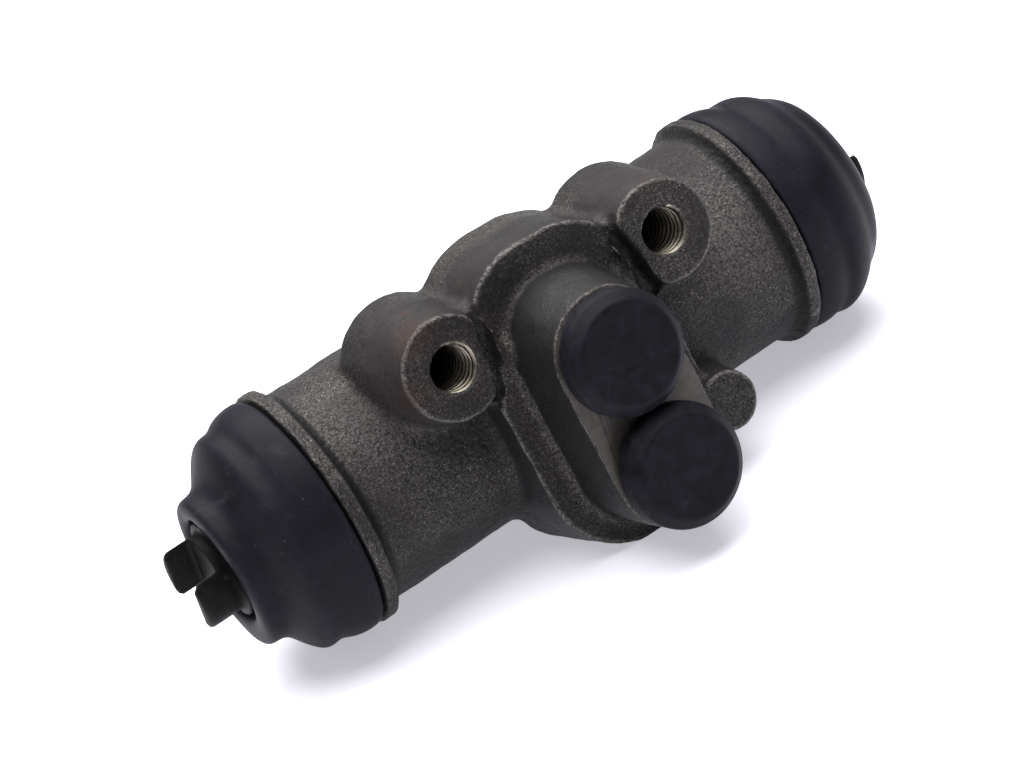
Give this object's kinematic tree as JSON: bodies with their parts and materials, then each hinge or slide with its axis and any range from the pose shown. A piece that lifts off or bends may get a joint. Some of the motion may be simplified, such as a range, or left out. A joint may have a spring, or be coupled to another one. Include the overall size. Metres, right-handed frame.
{
  "type": "brake wheel cylinder",
  "caption": "Double-acting drum brake wheel cylinder: cast barrel with tapped mounting bosses and capped ports, rubber dust boots and slotted pistons.",
  "frame": {"origin": "midway between the two tapped mounting holes, on the seat of their bosses", "axes": "+X along the bore to the right piston, -Y out of the mounting holes and ports, +Z from the bore towards the mounting bosses"},
  "size_m": [0.0986, 0.0478, 0.0401],
  "materials": {
    "cast_iron": "rough",
    "boot_rubber": "satin",
    "plug_rubber": "satin",
    "seal_rubber": "matte",
    "piston_metal": "machined",
    "spring_steel": "bright"
  },
  "bodies": {
    "housing": {"cylinder_body": "cast_iron", "return_spring": "spring_steel", "left_dust_boot": "boot_rubber", "right_dust_boot": "boot_rubber"},
    "left_plunger": {"left_piston": "piston_metal", "left_cup_seal": "seal_rubber", "left_cup_expander": "spring_steel"},
    "right_plunger": {"right_piston": "piston_metal", "right_cup_seal": "seal_rubber", "right_cup_expander": "spring_steel"},
    "upper_plug": {"upper_port_plug": "plug_rubber"},
    "lower_plug": {"lower_port_plug": "plug_rubber"}
  },
  "joints": [
    {"name": "left_piston_slide", "type": "slide", "parent": "housing", "child": "left_plunger", "axis": [-1, 0, 0], "range_m": [-0.002, 0.006], "deforming": ["left_dust_boot", "return_spring"]},
    {"name": "right_piston_slide", "type": "slide", "parent": "housing", "child": "right_plunger", "axis": [1, 0, 0], "range_m": [-0.002, 0.006], "deforming": ["right_dust_boot", "return_spring"]},
    {"name": "upper_plug_pull", "type": "slide", "parent": "housing", "child": "upper_plug", "axis": [0, -1, 0], "range_m": [0, 0.02]},
    {"name": "lower_plug_pull", "type": "slide", "parent": "housing", "child": "lower_plug", "axis": [0, -1, 0], "range_m": [0, 0.02]}
  ]
}
